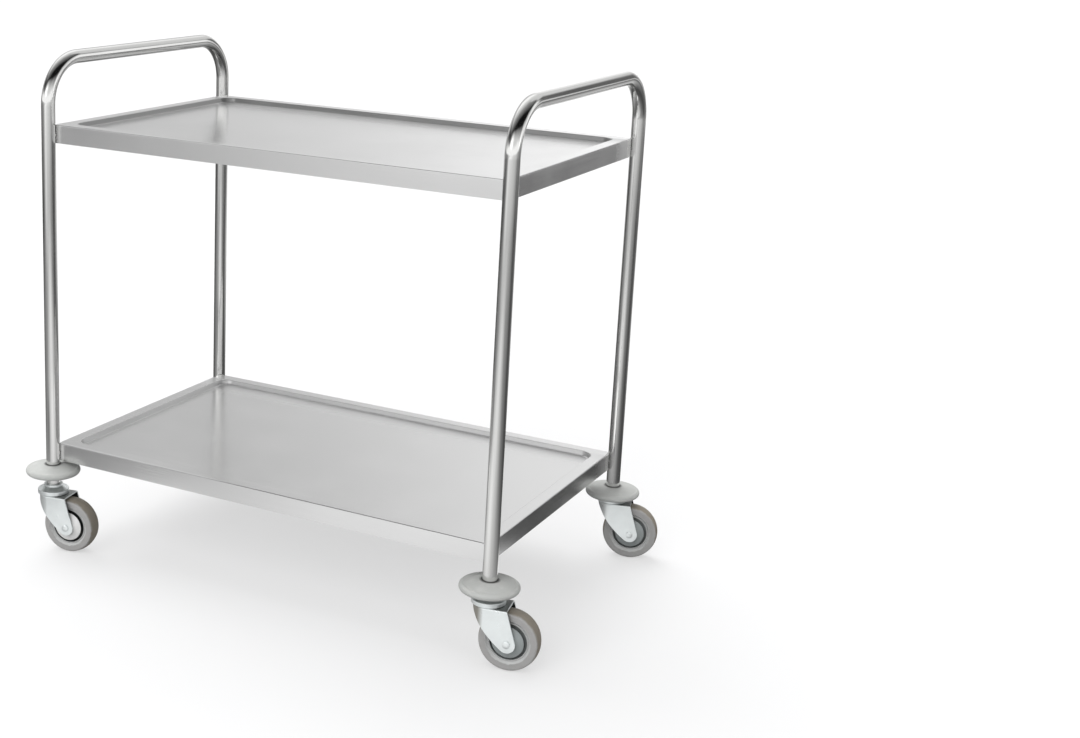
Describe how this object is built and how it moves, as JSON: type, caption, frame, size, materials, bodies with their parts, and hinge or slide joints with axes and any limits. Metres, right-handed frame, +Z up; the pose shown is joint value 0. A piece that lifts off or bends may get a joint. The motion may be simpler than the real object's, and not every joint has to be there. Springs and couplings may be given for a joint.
{
  "type": "serving trolley",
  "caption": "Open serving trolley with pressed stainless tray shelves between bent tube end frames that form push handles, on swivel casters with round bumpers.",
  "frame": {"origin": "on the floor, under the middle of the frame", "axes": "+X along the long side, +Y towards the rear long side, +Z up"},
  "size_m": [1.0292, 0.651, 0.922],
  "materials": {
    "polished_tube": "polished stainless tube",
    "satin_sheet": "satin stainless sheet",
    "zinc_plate": "bright zinc plate",
    "fastener": "plain steel",
    "bearing_steel": "polished",
    "bumper_plastic": "soft light grey plastic",
    "hub_plastic": "moulded grey plastic",
    "guard_plastic": "moulded light grey plastic",
    "tyre_rubber": "grey rubber"
  },
  "bodies": {
    "frame": {"end_frame_left": "polished_tube", "end_frame_right": "polished_tube", "upper_shelf": "satin_sheet", "upper_channel": "satin_sheet", "upper_brackets": "satin_sheet", "upper_bolts": "fastener", "upper_tube_nuts": "fastener", "lower_shelf": "satin_sheet", "lower_channel": "satin_sheet", "lower_brackets": "satin_sheet", "lower_bolts": "fastener", "lower_tube_nuts": "fastener", "post_plugs": "fastener", "king_bolts": "fastener", "king_sleeves": "fastener", "bumper_front_left": "bumper_plastic", "swivel_head_front_left": "zinc_plate", "bumper_front_right": "bumper_plastic", "swivel_head_front_right": "zinc_plate", "bumper_rear_left": "bumper_plastic", "swivel_head_rear_left": "zinc_plate", "bumper_rear_right": "bumper_plastic", "swivel_head_rear_right": "zinc_plate"},
    "swivel_front_left": {"fork_front_left": "zinc_plate", "bearing_balls_front_left": "bearing_steel", "axle_bolt_front_left": "zinc_plate", "axle_nut_front_left": "zinc_plate", "axle_bush_front_left": "fastener"},
    "wheel_front_left": {"wheel_hub_front_left": "hub_plastic", "tyre_front_left": "tyre_rubber", "thread_guards_front_left": "guard_plastic"},
    "swivel_front_right": {"fork_front_right": "zinc_plate", "bearing_balls_front_right": "bearing_steel", "axle_bolt_front_right": "zinc_plate", "axle_nut_front_right": "zinc_plate", "axle_bush_front_right": "fastener"},
    "wheel_front_right": {"wheel_hub_front_right": "hub_plastic", "tyre_front_right": "tyre_rubber", "thread_guards_front_right": "guard_plastic"},
    "swivel_rear_left": {"fork_rear_left": "zinc_plate", "bearing_balls_rear_left": "bearing_steel", "axle_bolt_rear_left": "zinc_plate", "axle_nut_rear_left": "zinc_plate", "axle_bush_rear_left": "fastener"},
    "wheel_rear_left": {"wheel_hub_rear_left": "hub_plastic", "tyre_rear_left": "tyre_rubber", "thread_guards_rear_left": "guard_plastic"},
    "swivel_rear_right": {"fork_rear_right": "zinc_plate", "bearing_balls_rear_right": "bearing_steel", "axle_bolt_rear_right": "zinc_plate", "axle_nut_rear_right": "zinc_plate", "axle_bush_rear_right": "fastener"},
    "wheel_rear_right": {"wheel_hub_rear_right": "hub_plastic", "tyre_rear_right": "tyre_rubber", "thread_guards_rear_right": "guard_plastic"}
  },
  "joints": [
    {"name": "swivel_front_left_turn", "type": "hinge", "parent": "frame", "child": "swivel_front_left", "pos_m": [-0.4455, -0.2755, 0.051], "axis": [0, 0, 1], "continuous": true},
    {"name": "wheel_front_left_spin", "type": "hinge", "parent": "swivel_front_left", "child": "wheel_front_left", "pos_m": [-0.40796, -0.26955, 0.051], "axis": [-0.1564, 0.9877, 0], "continuous": true},
    {"name": "swivel_front_right_turn", "type": "hinge", "parent": "frame", "child": "swivel_front_right", "pos_m": [0.4455, -0.2755, 0.051], "axis": [0, 0, 1], "continuous": true},
    {"name": "wheel_front_right_spin", "type": "hinge", "parent": "swivel_front_right", "child": "wheel_front_right", "pos_m": [0.48292, -0.2689, 0.051], "axis": [-0.1736, 0.9848, 0], "continuous": true},
    {"name": "swivel_rear_left_turn", "type": "hinge", "parent": "frame", "child": "swivel_rear_left", "pos_m": [-0.4455, 0.2755, 0.051], "axis": [0, 0, 1], "continuous": true},
    {"name": "wheel_rear_left_spin", "type": "hinge", "parent": "swivel_rear_left", "child": "wheel_rear_left", "pos_m": [-0.40833, 0.2834, 0.051], "axis": [-0.2079, 0.9781, 0], "continuous": true},
    {"name": "swivel_rear_right_turn", "type": "hinge", "parent": "frame", "child": "swivel_rear_right", "pos_m": [0.4455, 0.2755, 0.051], "axis": [0, 0, 1], "continuous": true},
    {"name": "wheel_rear_right_spin", "type": "hinge", "parent": "swivel_rear_right", "child": "wheel_rear_right", "pos_m": [0.48202, 0.28597, 0.051], "axis": [-0.2756, 0.9613, 0], "continuous": true}
  ]
}
